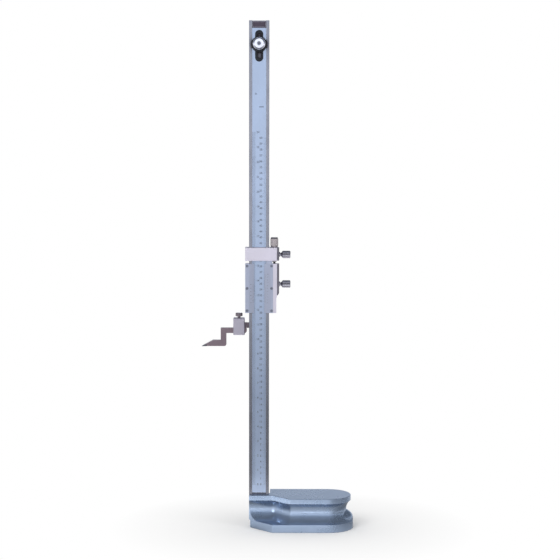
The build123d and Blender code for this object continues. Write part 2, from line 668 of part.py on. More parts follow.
# ---- vernier plates: bevelled down to a thin reading edge beside the main scale -----------
def vernier_plate(outer, bevel, edge, holes):
    """Plate between x = outer and x = edge; its face slopes down from bevel to edge."""
    with BuildPart() as plate:
        with BuildSketch(Plane.XY.offset(SLIDER_Z)):
            with BuildLine():
                Polyline(
                    (outer, BORE_FRONT), (outer, VERNIER_FACE), (bevel, VERNIER_FACE),
                    (edge, BORE_FRONT - VERNIER_EDGE_T), (edge, BORE_FRONT), close=True,
                )
            make_face()
        extrude(amount=SLIDER_L)
        counterbored([place.offset(VERNIER_T) for place in holes], VERNIER_T)
    return plate


left_vernier = vernier_plate(HEAD_LEFT, VERNIER_BEVEL_LEFT, VERNIER_EDGE_LEFT, vernier_holes[:3])
save(left_vernier, "left_vernier")

with BuildPart() as right_vernier:
    add(vernier_plate(VERNIER_RIGHT - SEAT, VERNIER_BEVEL_RIGHT, VERNIER_EDGE_RIGHT, vernier_holes[3:]).part)
    with BuildSketch(Plane.XZ.offset(-BORE_FRONT)):
        with Locations((TONGUE_LEFT, SLIDER_TOP - 1)):
            Rectangle(TONGUE_RIGHT - TONGUE_LEFT, TONGUE_L + 1, align=(Align.MIN, Align.MIN))
    extrude(amount=TONGUE_T)
save(right_vernier, "right_vernier")

with BuildPart() as vernier_screws:
    small_screws([place.offset(VERNIER_T) for place in vernier_holes])
save(vernier_screws, "vernier_screws")

# ---- slider side plate, its screws and the slider's clamp screw ----------------------------
with BuildPart() as slider_side_plate:
    with BuildSketch(facing_front(HEAD_RIGHT, -SIDE_PLATE_W / 2, SLIDER_TOP)):
        with BuildLine():
            Polyline((0, 0), (0, -SIDE_PLATE_L), (SIDE_PLATE_T * 0.4, -SIDE_PLATE_L),
                     (SIDE_PLATE_T, 4 - SIDE_PLATE_L), (SIDE_PLATE_T, 0), close=True)
        make_face()
    extrude(amount=-SIDE_PLATE_W)
    drill([slider_screw_axis.offset(SIDE_FACE)], SCREW_R + RUN, SIDE_PLATE_T)
    counterbored([place.offset(SIDE_PLATE_T) for place in side_plate_holes], SIDE_PLATE_T)
save(slider_side_plate, "slider_side_plate")

with BuildPart() as slider_side_screws:
    small_screws([place.offset(SIDE_PLATE_T) for place in side_plate_holes])
save(slider_side_screws, "slider_side_screws")

with BuildPart() as slider_clamp_screw:
    thumb_screw(slider_screw_axis, GIB_SEAT + RUN, SIDE_FACE + RUN, HEAD_R, HEAD_L)
save(slider_clamp_screw, "slider_clamp_screw")

# ---- fine feed: screw in the slider, nut held on the carrier --------------------------------
with BuildPart() as feed_screw:
    disc(feed_axis.offset(-FEED_SEAT), SCREW_R, FEED_SEAT + FEED_REACH)
    chamfer(feed_screw.edges(), length=0.5)
save(feed_screw, "feed_screw")

band_base = NUT_BASE + NUT_FOOT
band_top = NUT_TOP - NUT_CROWN
clip_groove = HUB_END + 0.5
with BuildPart() as feed_nut:
    knurled(feed_axis, NUT_R, band_base, band_top - band_base, NUT_GROOVES, 0.4)
    turned(feed_axis, [(0, HUB_END), (HUB_R, HUB_END), (HUB_R, NUT_BASE), (NUT_R - 1.5, NUT_BASE),
                       (NUT_R - 0.3, band_base - 1), (NUT_R - 0.3, band_base), (NUT_R - 1, band_base + 1),
                       (0, band_base + 1)])
    turned(feed_axis, [(0, band_top - 1), (NUT_R - 1.3, band_top - 1), (NUT_R - 0.3, band_top),
                       (NUT_R - 0.6, NUT_TOP - 0.7), (NUT_R - 1.6, NUT_TOP), (0, NUT_TOP)])
    turned(feed_axis, [(CLIP_GROOVE_R, clip_groove), (HUB_R + 1, clip_groove),
                       (HUB_R + 1, clip_groove + CLIP_T + 2 * SEAT),
                       (CLIP_GROOVE_R, clip_groove + CLIP_T + 2 * SEAT)], Mode.SUBTRACT)
    drill([feed_axis.offset(NUT_TOP - 3.5)], SCREW_R + RUN, NUT_TOP - 3.5 - HUB_END)
save(feed_nut, "feed_nut")

with BuildPart() as feed_nut_clip:
    with BuildSketch(feed_axis.offset(clip_groove + SEAT)):
        Circle(CLIP_R)
        Circle(CLIP_GROOVE_R + SEAT, mode=Mode.SUBTRACT)
        with Locations((0, CLIP_R)):
            Rectangle(1.6 * CLIP_GROOVE_R, 2 * CLIP_R, mode=Mode.SUBTRACT)
    extrude(amount=CLIP_T)
save(feed_nut_clip, "feed_nut_clip")

# ---- carrier: block that clamps to the column above the slider ------------------------------
carrier_screw_axis = facing_right(0, CARRIER_SCREW_Y, CARRIER_SCREW_Z)
carrier_back_holes = [
    facing_back(x, BORE_BACK, CARRIER_MID + rise * BACK_HOLE_RISE)
    for x in (VERNIER_SCREW_LEFT, BACK_HOLE_X) for rise in (-1, 1)
]
carrier_side_holes = [
    facing_right(HEAD_RIGHT, CARRIER_SCREW_Y, CARRIER_MID + rise * SIDE_HOLE_RISE) for rise in (-1, 1)
]

with BuildPart() as carrier:
    with BuildSketch(Plane.XY.offset(CARRIER_Z)):
        with BuildLine():
            Polyline(
                (HEAD_LEFT, CARRIER_FACE), (HEAD_RIGHT, CARRIER_FACE), (HEAD_RIGHT, BORE_BACK),
                (BORE_SIDE, BORE_BACK), (BORE_SIDE, BORE_FRONT), (-BORE_SIDE, BORE_FRONT),
                (-BORE_SIDE, BORE_BACK), (HEAD_LEFT, BORE_BACK), close=True,
            )
        make_face()
    extrude(amount=CARRIER_L)
    chamfer(carrier.faces().sort_by(Axis.Y)[0].edges(), length=0.8)
    with BuildSketch(Plane.XY.offset(CARRIER_Z)):
        with Locations((TONGUE_LEFT - SLACK, BORE_FRONT)):
            Rectangle(TONGUE_RIGHT - TONGUE_LEFT + 2 * SLACK, TONGUE_T + SLACK, align=(Align.MIN, Align.MAX))
    extrude(amount=TONGUE_L - HEAD_GAP + FINE_TRAVEL + 2 * SLACK, mode=Mode.SUBTRACT)
    with BuildSketch(facing_right(BORE_SIDE, 0, CARRIER_MID)):
        Rectangle(2 * (GIB_HALF + SEAT), CARRIER_L - 2 * GIB_END + 2 * SEAT)
    extrude(amount=GIB_T + SEAT, mode=Mode.SUBTRACT)
    drill([carrier_screw_axis.offset(HEAD_RIGHT)], SCREW_R + RUN, HEAD_RIGHT - BORE_SIDE)
    drill([facing_up(FEED_X, FEED_Y, CARRIER_TOP)], HUB_R + RUN, CARRIER_L)
    drill(carrier_back_holes, SMALL_R, SMALL_L + 1)
    drill(carrier_side_holes, SMALL_R, SMALL_L + 1)
save(carrier, "carrier")

with BuildPart() as carrier_back:
    with BuildSketch(Plane.XY.offset(CARRIER_Z)):
        with Locations((HEAD_LEFT, BORE_BACK)):
            Rectangle(HEAD_RIGHT - HEAD_LEFT, CARRIER_BACK_T, align=(Align.MIN, Align.MIN))
    extrude(amount=CARRIER_L)
    chamfer(carrier_back.faces().sort_by(Axis.Y)[-1].edges(), length=0.8)
    counterbored([place.offset(CARRIER_BACK_T) for place in carrier_back_holes], CARRIER_BACK_T)
save(carrier_back, "carrier_back")

with BuildPart() as carrier_back_screws:
    small_screws([place.offset(CARRIER_BACK_T) for place in carrier_back_holes])
save(carrier_back_screws, "carrier_back_screws")

carrier_gib = gib(CARRIER_Z, CARRIER_L)
save(carrier_gib, "carrier_gib")

with BuildPart() as carrier_side_plate:
    with BuildSketch(facing_right(HEAD_RIGHT, 0, CARRIER_MID)):
        Rectangle(SIDE_PLATE_W, CARRIER_L - 2 * PLATE_INSET)
    extrude(amount=SIDE_PLATE_T)
    chamfer(carrier_side_plate.faces().sort_by(Axis.X)[-1].edges(), length=0.6)
    drill([carrier_screw_axis.offset(SIDE_FACE)], SCREW_R + RUN, SIDE_PLATE_T)
    counterbored([place.offset(SIDE_PLATE_T) for place in carrier_side_holes], SIDE_PLATE_T)
save(carrier_side_plate, "carrier_side_plate")

with BuildPart() as carrier_side_screws:
    small_screws([place.offset(SIDE_PLATE_T) for place in carrier_side_holes])
save(carrier_side_screws, "carrier_side_screws")

with BuildPart() as carrier_clamp_screw:
    thumb_screw(carrier_screw_axis, GIB_SEAT + RUN, SIDE_FACE + RUN, HEAD_R, HEAD_L)
save(carrier_clamp_screw, "carrier_clamp_screw")

# ---- scriber clamp: box that squeezes the scriber up against the jaw ------------------------
clamp_screw_axis = facing_up(CLAMP_MID, JAW_MID, 0)

with BuildPart() as scriber_clamp:
    with BuildSketch(Plane.XY.offset(CLAMP_Z)):
        with Locations((CLAMP_MID, JAW_MID)):
            Rectangle(CLAMP_W, BAR + 2 * RUN + 2 * CLAMP_WALL)
    extrude(amount=CLAMP_TOP - CLAMP_Z)
    chamfer(scriber_clamp.edges(), length=0.9)
    with BuildSketch(facing_right(CLAMP_LEFT, JAW_MID, JAW_Z)):
        Rectangle(BAR + 2 * RUN, 2 * BAR + 2 * RUN)
    extrude(amount=CLAMP_W, mode=Mode.SUBTRACT)
    drill([clamp_screw_axis.offset(CLAMP_TOP)], SCREW_R + RUN, CLAMP_ROOF + RUN)
save(scriber_clamp, "scriber_clamp")

with BuildPart() as scriber_clamp_screw:
    knurled(clamp_screw_axis, CLAMP_HEAD_R, CLAMP_TOP + CLAMP_NECK, CLAMP_HEAD_L, CLAMP_GROOVES, 0.6)
    turned(clamp_screw_axis, [
        (0, JAW_Z + BAR + RUN), (SCREW_R - 0.5, JAW_Z + BAR + RUN), (SCREW_R, JAW_Z + BAR + 0.6),
        (SCREW_R, CLAMP_TOP), (SCREW_R + 0.6, CLAMP_TOP + SLACK),
        (SCREW_R + 0.6, CLAMP_TOP + CLAMP_NECK), (0, CLAMP_TOP + CLAMP_NECK)])
save(scriber_clamp_screw, "scriber_clamp_screw")

# ---- scriber: cranked steel bar with a carbide tip brazed into a step under its point -------
with BuildPart() as scriber:
    with BuildSketch(Plane.XZ.offset(-JAW_FRONT)):
        with BuildLine():
            Polyline(
                (SCRIBER_TAIL, SCRIBER_TOP), (SCRIBER_TAIL, SCRIBER_TOP - BAR),
                (LEG_LEFT + LEG_W, SCRIBER_TOP - BAR), (LEG_LEFT + LEG_W, BLADE_Z), (TIP_END, BLADE_Z),
                (TIP_END, BLADE_Z + TIP_T), (TIP_NECK, BLADE_Z + TIP_T),
                (BLADE_SLOPE, READING + BLADE_T), (LEG_LEFT, READING + BLADE_T),
                (LEG_LEFT, SCRIBER_TOP), close=True,
            )
        make_face()
    extrude(amount=-BAR)
    upright = scriber.edges().filter_by(Axis.Y)
    fillet(upright.sort_by_distance(Vector(LEG_LEFT + LEG_W, JAW_MID, BLADE_Z))[0], radius=3.5)
    fillet(upright.sort_by_distance(Vector(SCRIBER_TAIL, JAW_MID, SCRIBER_TOP - BAR))[0], radius=4)
    fillet(upright.sort_by_distance(Vector(SCRIBER_TAIL, JAW_MID, SCRIBER_TOP))[0], radius=2)
    fillet(upright.sort_by_distance(Vector(LEG_LEFT, JAW_MID, READING + BLADE_T))[0], radius=1)
    fillet(upright.sort_by_distance(Vector(LEG_LEFT + LEG_W, JAW_MID, SCRIBER_TOP - BAR))[0], radius=0.8)
save(scriber, "scriber")

with BuildPart() as scriber_tip:
    with BuildSketch(Plane.XZ.offset(-JAW_FRONT)):
        with BuildLine():
            Polyline(
                (TIP_END - SEAT, READING), (TIP_END - SEAT, BLADE_Z + TIP_T - SEAT),
                (TIP_NECK, BLADE_Z + TIP_T - SEAT), (BLADE_TIP, READING + 0.3),
                (BLADE_TIP, READING), close=True,
            )
        make_face()
    extrude(amount=-BAR)
save(scriber_tip, "scriber_tip")
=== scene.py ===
"""Dresses a 600 mm vernier height gauge: finishes, graduations and numbers, studio and camera.

Metres. +X runs along the base, +Y to the back of the column, +Z up.
"""
import math

import bmesh
import bpy
from mathutils import Matrix, Vector


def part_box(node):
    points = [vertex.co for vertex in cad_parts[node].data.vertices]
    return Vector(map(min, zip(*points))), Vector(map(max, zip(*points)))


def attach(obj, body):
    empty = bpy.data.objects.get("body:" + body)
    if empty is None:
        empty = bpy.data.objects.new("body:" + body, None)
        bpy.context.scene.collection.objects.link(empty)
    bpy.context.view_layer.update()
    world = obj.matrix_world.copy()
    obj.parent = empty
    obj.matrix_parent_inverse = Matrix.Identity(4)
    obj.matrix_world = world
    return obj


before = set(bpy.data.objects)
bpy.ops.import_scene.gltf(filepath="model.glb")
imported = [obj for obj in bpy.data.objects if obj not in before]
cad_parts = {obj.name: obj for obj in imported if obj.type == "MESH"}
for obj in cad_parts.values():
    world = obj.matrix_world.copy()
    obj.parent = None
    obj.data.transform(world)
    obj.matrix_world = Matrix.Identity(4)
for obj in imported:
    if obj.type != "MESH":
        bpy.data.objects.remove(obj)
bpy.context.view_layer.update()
MM = 0.001

# ---- the studio -----------------------------------------------------------------------------
# A pale table, white all round, a large soft lamp above on the left and a weaker one on the
# right. Overhead and to the right the room is darker, and only polished metal shows that. The
# camera is on the gauge's front side, 2.5 m away, and looks down a little.
CAMERA_PLACE = Vector((0.0360, -2.507, 0.633))
CAMERA_DROP = math.radians(4.57)
CAMERA_ROLL = math.radians(0.10)
CAMERA_LENS = 93.74         # mm
SENSOR = 36                 # mm
PALE = 0.95
WHITE_NEAR = 0.05           # the table turns plain white between these distances from the base
WHITE_FROM = 0.26
BASE_REACH = 0.12           # they start at a line under the base, along X from 0 to here
ROOM_LIGHT = 0.66
# What polished metal sees of the walls: their grey by height, 0 level and 1 overhead. They look
# cooler the higher they are, and darker to the right and to the left, where -1 and 1 are due
# left and right.
WALL_GREYS = ((0.0, 1.42), (0.13, 1.42), (0.20, 0.38), (0.40, 0.34), (0.65, 0.24), (0.90, 0.14))
WALL_TINT = (0.90, 1.0, 1.14)
WALL_TINT_FULL = 0.2
WALL_RIGHT = {"From_Min": 0.10, "From_Max": 0.75, "To_Min": 1.0, "To_Max": 0.38}
WALL_LEFT = {"From_Min": -0.45, "From_Max": -0.15, "To_Min": 0.56, "To_Max": 1.0}
# What it sees of the table: the grey by the square root of the share of TABLE_SIDE between a
# spot and the base, times another by the metres to the right. By the metres to the back, BEHIND,
# this gives way to one plain grey.
TABLE_SIDE = 9.0            # m, from the middle of the table to each of its edges
TABLE_GREYS = ((0.045, 0.30), (0.070, 0.70), (0.118, 0.80), (0.135, 3.3), (0.15, 0.85),
               (0.173, 0.80), (0.20, 0.20), (0.44, 0.32), (0.60, 0.75), (0.75, 1.45))
TABLE_RIGHT = ((0.115, 1.0), (0.20, 0.30), (0.50, 0.35), (0.90, 1.0))
TABLE_BEHIND = 0.70
BEHIND = {"From_Min": 0.02, "From_Max": 0.25}
# Each lamp's name, kind, place, aim, size in metres and watts.
LAMPS = (("key_lamp", "AREA", (-1.1, -1.9, 2.1), (0.02, 0, 0.40), 1.4, 30),
         ("fill_lamp", "AREA", (1.9, -1.2, 0.9), (0.05, 0, 0.30), 1.0, 9),
         ("glint_lamp", "SPOT", (-0.80, -1.40, 0.09), (0.01, 0, 0.02), 0.10, 20))
GLINT_CONE = math.radians(6)


def linear(hex_colour):
    """Scene-linear RGBA of an sRGB colour written as #rrggbb."""
    channels = [int(hex_colour[n:n + 2], 16) / 255 for n in (1, 3, 5)]
    return *(c / 12.92 if c <= 0.04045 else ((c + 0.055) / 1.055) ** 2.4 for c in channels), 1.0


def add_node(tree, kind, settings=None, **sockets):
    """Adds a shader node. Each socket is given a value, a node or another node's socket."""
    made = tree.nodes.new("ShaderNode" + kind)
    for name, value in (settings or {}).items():
        setattr(made, name, value)
    for name, value in sockets.items():
        socket = next(s for s in made.inputs if s.enabled and s.name == name.replace("_", " "))
        if isinstance(value, bpy.types.Node):
            value = next(s for s in value.outputs if s.enabled)
        if isinstance(value, bpy.types.NodeSocket):
            tree.links.new(value, socket)
        else:
            socket.default_value = value
    return made


world = bpy.data.worlds.new("studio")
bpy.context.scene.world = world
world.use_nodes = True
sky = world.node_tree
sky.nodes.clear()
ray = add_node(sky, "LightPath")
looking = add_node(sky, "SeparateXYZ", Vector=add_node(sky, "TexCoord").outputs["Generated"])
overhead = add_node(sky, "ValToRGB", Fac=looking.outputs["Z"])
for place, grey in WALL_GREYS:
    stop = overhead.color_ramp.elements.new(place)
    cool = min(1.0, place / WALL_TINT_FULL)
    stop.color = [grey * (1 - cool + cool * share) for share in WALL_TINT] + [1.0]
for end in (-1, 0):         # the ramp's own white and black stops
    overhead.color_ramp.elements.remove(overhead.color_ramp.elements[end])
soft = {"interpolation_type": "SMOOTHSTEP"}
rightward = add_node(sky, "MapRange", soft, Value=looking.outputs["X"], **WALL_RIGHT)
room = add_node(sky, "Background", Color=linear("#ffffff"), Strength=ROOM_LIGHT)
leftward = add_node(sky, "MapRange", soft, Value=looking.outputs["X"], **WALL_LEFT)
sideways = add_node(sky, "Math", {"operation": "MULTIPLY"})
sky.links.new(rightward.outputs[0], sideways.inputs[0])
sky.links.new(leftward.outputs[0], sideways.inputs[1])
walls = add_node(sky, "Background", Color=overhead, Strength=sideways)
backdrop = add_node(sky, "Background", Color=linear("#ffffff"), Strength=1.0)
reflected = add_node(sky, "MixShader")
sky.links.new(ray.outputs["Is Glossy Ray"], reflected.inputs[0])
sky.links.new(room.outputs[0], reflected.inputs[1])
sky.links.new(walls.outputs[0], reflected.inputs[2])
seen = add_node(sky, "Math", {"operation": "MAXIMUM"})
sky.links.new(ray.outputs["Is Camera Ray"], seen.inputs[0])
sky.links.new(ray.outputs["Is Transmission Ray"], seen.inputs[1])
shown = add_node(sky, "MixShader")
sky.links.new(seen.outputs[0], shown.inputs[0])
sky.links.new(reflected.outputs[0], shown.inputs[1])
sky.links.new(backdrop.outputs[0], shown.inputs[2])
add_node(sky, "OutputWorld", Surface=shown)

table_mesh = bpy.data.meshes.new("table")
corners = [(x * TABLE_SIDE, y * TABLE_SIDE, 0) for x, y in ((-1, -1), (1, -1), (1, 1), (-1, 1))]
table_mesh.from_pydata(corners, [], [(0, 1, 2, 3)])
table = bpy.data.objects.new("table", table_mesh)
bpy.context.scene.collection.objects.link(table)
table_paint = bpy.data.materials.new("table_paint")
table_paint.use_nodes = True
tree = table_paint.node_tree
tree.nodes.clear()
spot = add_node(tree, "TexCoord")
across = add_node(tree, "SeparateXYZ", Vector=spot.outputs["Object"])
beside = add_node(tree, "Clamp", Value=across.outputs["X"], Min=0.0, Max=BASE_REACH)
past = add_node(tree, "Math", {"operation": "SUBTRACT"})
tree.links.new(across.outputs["X"], past.inputs[0])
tree.links.new(beside.outputs[0], past.inputs[1])
from_base = add_node(tree, "CombineXYZ", X=past, Y=across.outputs["Y"])
distance = add_node(tree, "VectorMath", {"operation": "LENGTH"})
tree.links.new(from_base.outputs[0], distance.inputs[0])
fade = add_node(tree, "MapRange", Value=distance.outputs["Value"],
                From_Min=WHITE_NEAR, From_Max=WHITE_FROM)
ray = add_node(tree, "LightPath")
far_and_seen = add_node(tree, "Math", {"operation": "MULTIPLY"})
tree.links.new(fade.outputs[0], far_and_seen.inputs[0])
tree.links.new(ray.outputs["Is Camera Ray"], far_and_seen.inputs[1])
share = add_node(tree, "Math", {"operation": "DIVIDE"})
tree.links.new(distance.outputs["Value"], share.inputs[0])
share.inputs[1].default_value = TABLE_SIDE
share_root = add_node(tree, "Math", {"operation": "SQRT"})
tree.links.new(share.outputs[0], share_root.inputs[0])
mirrored = add_node(tree, "ValToRGB", Fac=share_root)
for place, grey in TABLE_GREYS:
    mirrored.color_ramp.elements.new(place).color = (grey, grey, grey, 1)
for end in (-1, 0):
    mirrored.color_ramp.elements.remove(mirrored.color_ramp.elements[end])
to_right = add_node(tree, "ValToRGB", Fac=across.outputs["X"])
for place, grey in TABLE_RIGHT:
    to_right.color_ramp.elements.new(place).color = (grey, grey, grey, 1)
for end in (-1, 0):
    to_right.color_ramp.elements.remove(to_right.color_ramp.elements[end])
mirrored_grey = add_node(tree, "Math", {"operation": "MULTIPLY"})
tree.links.new(mirrored.outputs[0], mirrored_grey.inputs[0])
tree.links.new(to_right.outputs[0], mirrored_grey.inputs[1])
behind = add_node(tree, "MapRange", soft, Value=across.outputs["Y"], **BEHIND)
all_round = add_node(tree, "Mix", Factor=behind.outputs[0], A=mirrored_grey, B=TABLE_BEHIND)
mirror_table = add_node(tree, "Emission", Color=linear("#ffffff"), Strength=all_round)
paint = add_node(tree, "BsdfDiffuse", Color=(PALE, PALE, PALE, 1))
white = add_node(tree, "Emission", Color=linear("#ffffff"), Strength=1.0)
surface = add_node(tree, "MixShader")
tree.links.new(far_and_seen.outputs[0], surface.inputs[0])
tree.links.new(paint.outputs[0], surface.inputs[1])
tree.links.new(white.outputs[0], surface.inputs[2])
either = add_node(tree, "MixShader")
tree.links.new(ray.outputs["Is Glossy Ray"], either.inputs[0])
tree.links.new(surface.outputs[0], either.inputs[1])
tree.links.new(mirror_table.outputs[0], either.inputs[2])
add_node(tree, "OutputMaterial", Surface=either)
table_mesh.materials.append(table_paint)

for name, kind, place, aim, size, watts in LAMPS:
    lamp = bpy.data.lights.new(name, kind)
    lamp.energy = watts
    holder = bpy.data.objects.new(name, lamp)
    bpy.context.scene.collection.objects.link(holder)
    holder.location = place
    holder.rotation_euler = (Vector(aim) - Vector(place)).to_track_quat("-Z", "Y").to_euler()
    if kind == "AREA":
        lamp.size = size
        holder.visible_glossy = False
    else:               # it makes the glint on the base, and polished metal alone shows it
        lamp.shadow_soft_size = size
        lamp.spot_size = GLINT_CONE
        holder.visible_diffuse = False

camera = bpy.data.objects.new("camera", bpy.data.cameras.new("camera"))
bpy.context.scene.collection.objects.link(camera)
camera.data.lens = CAMERA_LENS
camera.data.sensor_width = SENSOR
camera.location = CAMERA_PLACE
turned = Matrix.Rotation(math.pi / 2 - CAMERA_DROP, 3, "X") @ Matrix.Rotation(CAMERA_ROLL, 3, "Z")
camera.rotation_euler = turned.to_euler()
bpy.context.scene.camera = camera
bpy.context.scene.view_settings.view_transform = "Standard"

# ---- the base -------------------------------------------------------------------------------
# A cast iron foot, finish machined and then satin chromed. The plating keeps the fine lines
# that the cutter left along the base, and looks cool and slightly blue.
BASE_CHROME = "#a2b5d1"
BASE_CHROME_WORN = "#abbdd8"
CAST_GRAIN = 1.6 * MM
CUTTER_LINE = 0.25 * MM     # real lines are under 0.1 mm and would not show
CUTTER_DEPTH = 0.0006 * MM
CUTTER_SHARE = 0.02         # a line's width over its length
HANDLED_PATCH = 35 * MM     # the spots that hands have rubbed
DOWNWARD_SHADE = "#59616b"        # painted shade, laid where the grip groove faces down under the deck's lip
# How much painted shade a face gets, by its normal's Z, which is -1 where it faces straight down.
DOWNWARD_SHADE_RANGE = {"From_Min": -0.55, "From_Max": -0.05, "To_Min": 0.45, "To_Max": 0.0}


def satin_chrome(name, colour, worn, grain, roughness, line=None, depth=0.004 * MM):
    """Matt chrome over a blasted or machined surface: a soft grain, patches that hands have
    rubbed a little lighter and duller and, where line is given, cutter lines along X."""
    finish = bpy.data.materials.new(name)
    finish.use_nodes = True
    tree = finish.node_tree
    tree.nodes.clear()
    spot = add_node(tree, "TexCoord").outputs["Object"]
    handling = add_node(tree, "TexNoise", Vector=spot, Scale=1 / HANDLED_PATCH, Detail=3.0,
                        Roughness=0.6)
    fine = add_node(tree, "TexNoise", Vector=spot, Scale=1 / grain, Detail=4.0, Roughness=0.7)
    patches = add_node(tree, "MapRange", Value=handling.outputs[0], From_Min=0.35, From_Max=0.7)
    tint = add_node(tree, "Mix", {"data_type": "RGBA"}, Factor=patches.outputs[0],
                    A=linear(colour), B=linear(worn))
    sheen = add_node(tree, "MapRange", Value=handling.outputs[0], From_Min=0.3, From_Max=0.7,
                     To_Min=roughness - 0.04, To_Max=roughness + 0.05)
    height = fine
    if line:
        drawn = add_node(tree, "VectorMath", {"operation": "MULTIPLY"})
        tree.links.new(spot, drawn.inputs[0])
        drawn.inputs[1].default_value = (CUTTER_SHARE / line, 1 / line, 1 / line)
        lines = add_node(tree, "TexNoise", Vector=drawn, Scale=1.0, Detail=2.0)
        height = add_node(tree, "Math", {"operation": "ADD"})
        tree.links.new(fine.outputs[0], height.inputs[0])
        tree.links.new(lines.outputs[0], height.inputs[1])
    bump = add_node(tree, "Bump", Height=height, Strength=0.6, Distance=depth)
    metal = add_node(tree, "BsdfPrincipled", Base_Color=tint, Metallic=0.85, Roughness=sheen,
                     Normal=bump)
    add_node(tree, "OutputMaterial", Surface=metal)
    return finish


def finish_with(material, *names):
    """Gives the material to every slot of these CAD nodes."""
    for name in names:
        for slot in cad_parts[name].material_slots:
            slot.material = material


def tinted_where(finish, amount, colour):
    """Lays another colour over a finish's own, by an amount from 0 to 1."""
    tree = finish.node_tree
    metal = next(made for made in tree.nodes if made.type == "BSDF_PRINCIPLED")
    own = metal.inputs["Base Color"].links[0].from_socket
    tint = add_node(tree, "Mix", {"data_type": "RGBA"}, Factor=amount, A=own, B=linear(colour))
    tree.links.new(next(made for made in tint.outputs if made.enabled), metal.inputs["Base Color"])


base_chrome = satin_chrome("satin_chromed_iron", BASE_CHROME, BASE_CHROME_WORN, CAST_GRAIN,
                           roughness=0.28, line=CUTTER_LINE, depth=CUTTER_DEPTH)
tree = base_chrome.node_tree
# Painted shade: faces of the base that turn downwards, as in the grip groove under the deck's lip,
# are darkened.
facing = add_node(tree, "SeparateXYZ", Vector=add_node(tree, "NewGeometry").outputs["Normal"])
downward_shade_amount = add_node(tree, "MapRange", Value=facing.outputs["Z"], **DOWNWARD_SHADE_RANGE)
tinted_where(base_chrome, downward_shade_amount.outputs[0], DOWNWARD_SHADE)
finish_with(base_chrome, "base")

# ---- the column -----------------------------------------------------------------------------
# A bar of hardened steel, ground lengthwise and left bare, so it is darker and browner than
# the chromed pieces, with fine lines up and down. The screws and dowels under it are plain.
GROUND_STEEL = "#81838f"
GROUND_STEEL_LIGHT = "#9194a0"
GRINDING_LINE = 0.35 * MM   # real lines are finer and would not show
GRINDING_SHARE = 0.015      # a line's width over its length
GRINDING_DEPTH = 0.006 * MM
POLISH_CLOUD = 28 * MM      # the spots where the polish differs a little
# The next colour is painted shade for the column's face inside the adjuster's slot.
COLUMN_RECESS_SHADE = "#241f25"
RECESS_SHADE_REACH = 34 * MM      # the painted shade reaches this far from the adjuster's axis
RECESS_SHADE_EDGE = 5 * MM
RECESS = 9 * MM             # and is laid only where walls stand this near
SCREW_STEEL = "#757a8a"
SCREW_STEEL_LIGHT = "#8f94a5"
TURNING_LINE = 0.3 * MM


def ground_steel(name, dark, light, along, line, roughness, metallic=0.8):
    """Bare ground steel. The lines run along one axis, 0 for X, 1 for Y or 2 for Z."""
    finish = bpy.data.materials.new(name)
    finish.use_nodes = True
    tree = finish.node_tree
    tree.nodes.clear()
    spot = add_node(tree, "TexCoord").outputs["Object"]
    drawn = add_node(tree, "VectorMath", {"operation": "MULTIPLY"})
    tree.links.new(spot, drawn.inputs[0])
    drawn.inputs[1].default_value = [(GRINDING_SHARE if axis == along else 1) / line
                                     for axis in range(3)]
    lines = add_node(tree, "TexNoise", Vector=drawn, Scale=1.0, Detail=3.0, Roughness=0.65)
    clouds = add_node(tree, "TexNoise", Vector=spot, Scale=1 / POLISH_CLOUD, Detail=2.0)
    shade = add_node(tree, "MapRange", Value=lines.outputs[0], From_Min=0.3, From_Max=0.7)
    tint = add_node(tree, "Mix", {"data_type": "RGBA"}, Factor=shade.outputs[0],
                    A=linear(dark), B=linear(light))
    sheen = add_node(tree, "MapRange", Value=clouds.outputs[0], From_Min=0.3, From_Max=0.7,
                     To_Min=roughness - 0.05, To_Max=roughness + 0.06)
    bump = add_node(tree, "Bump", Height=lines, Strength=0.5, Distance=GRINDING_DEPTH)
    metal = add_node(tree, "BsdfPrincipled", Base_Color=tint, Metallic=metallic, Roughness=sheen,
                     Normal=bump)
    add_node(tree, "OutputMaterial", Surface=metal)
    return finish


column_steel = ground_steel("ground_column_steel", GROUND_STEEL, GROUND_STEEL_LIGHT, along=2,
                            line=GRINDING_LINE, roughness=0.22)
finish_with(column_steel, "column")

# Painted shade: the column's face in the adjuster's slot, close to walls, is darkened almost to
# black.
tree = column_steel.node_tree
wheel_low, wheel_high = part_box("adjust_wheel")
from_axis = add_node(tree, "VectorMath", {"operation": "DISTANCE"})
tree.links.new(add_node(tree, "TexCoord").outputs["Object"], from_axis.inputs[0])
from_axis.inputs[1].default_value = (wheel_low + wheel_high) / 2
near_adjuster = add_node(tree, "MapRange", Value=from_axis.outputs["Value"],
                  From_Min=RECESS_SHADE_REACH - RECESS_SHADE_EDGE, From_Max=RECESS_SHADE_REACH, To_Min=1.0, To_Max=0.0)
open_air = add_node(tree, "AmbientOcclusion", {"samples": 8}, Distance=RECESS)
shut_in = add_node(tree, "MapRange", Value=open_air.outputs["AO"],
                   From_Min=0.6, From_Max=0.92, To_Min=1.0, To_Max=0.0)
recess_shade_amount = add_node(tree, "Math", {"operation": "MULTIPLY"})
tree.links.new(near_adjuster.outputs[0], recess_shade_amount.inputs[0])
tree.links.new(shut_in.outputs[0], recess_shade_amount.inputs[1])
tinted_where(column_steel, recess_shade_amount.outputs[0], COLUMN_RECESS_SHADE)

# Small screws of turned steel, a little bluer than the column and dull between the turnings.
machine_screw = ground_steel("turned_screw_steel", SCREW_STEEL, SCREW_STEEL_LIGHT, along=0,
                             line=TURNING_LINE, roughness=0.34)
finish_with(machine_screw, "column_screws", "column_dowels", "vernier_screws", "slider_side_screws",
            "carrier_back_screws", "carrier_side_screws", "lock_stud", "lock_washer")

